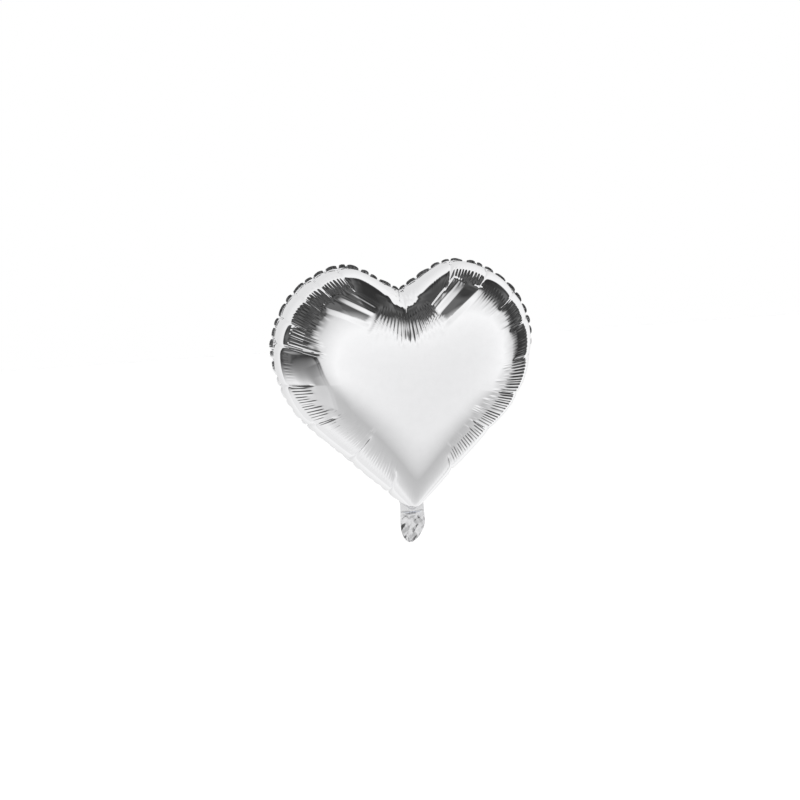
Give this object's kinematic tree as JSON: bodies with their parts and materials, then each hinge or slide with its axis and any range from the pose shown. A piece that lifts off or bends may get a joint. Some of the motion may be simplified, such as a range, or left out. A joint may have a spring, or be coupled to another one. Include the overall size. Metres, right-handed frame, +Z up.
{
  "type": "heart-shaped foil balloon",
  "caption": "Filled heart-shaped balloon of silver foil film with a puckered seam, a self-sealing valve and a flat tail.",
  "frame": {"origin": "crease at the bottom of the neck, on the centre line between the two foil films, where the ribbon is tied", "axes": "+X across the heart, +Y towards its back, +Z up from the neck to the notch"},
  "size_m": [0.37, 0.18, 0.3954],
  "materials": {
    "foil": "mirror-bright metallised film",
    "seal": "heat-sealed film, satin",
    "clear_film": "clear soft film",
    "ink": "printed release ink"
  },
  "bodies": {
    "envelope": {"front_panel": "foil", "back_panel": "foil", "edge_seal": "seal", "valve_front_film": "clear_film", "valve_back_film": "clear_film", "valve_side_seals": "clear_film", "valve_ink_patch": "ink"},
    "tail": {"tail_front": "foil", "tail_back": "foil", "tail_seal": "seal", "tail_valve_front": "clear_film", "tail_valve_back": "clear_film"}
  },
  "joints": [
    {"name": "tail_fold", "type": "hinge", "parent": "envelope", "child": "tail", "pos_m": [0, 0, 0], "axis": [1, 0, 0], "range_deg": [-100, 100]}
  ]
}
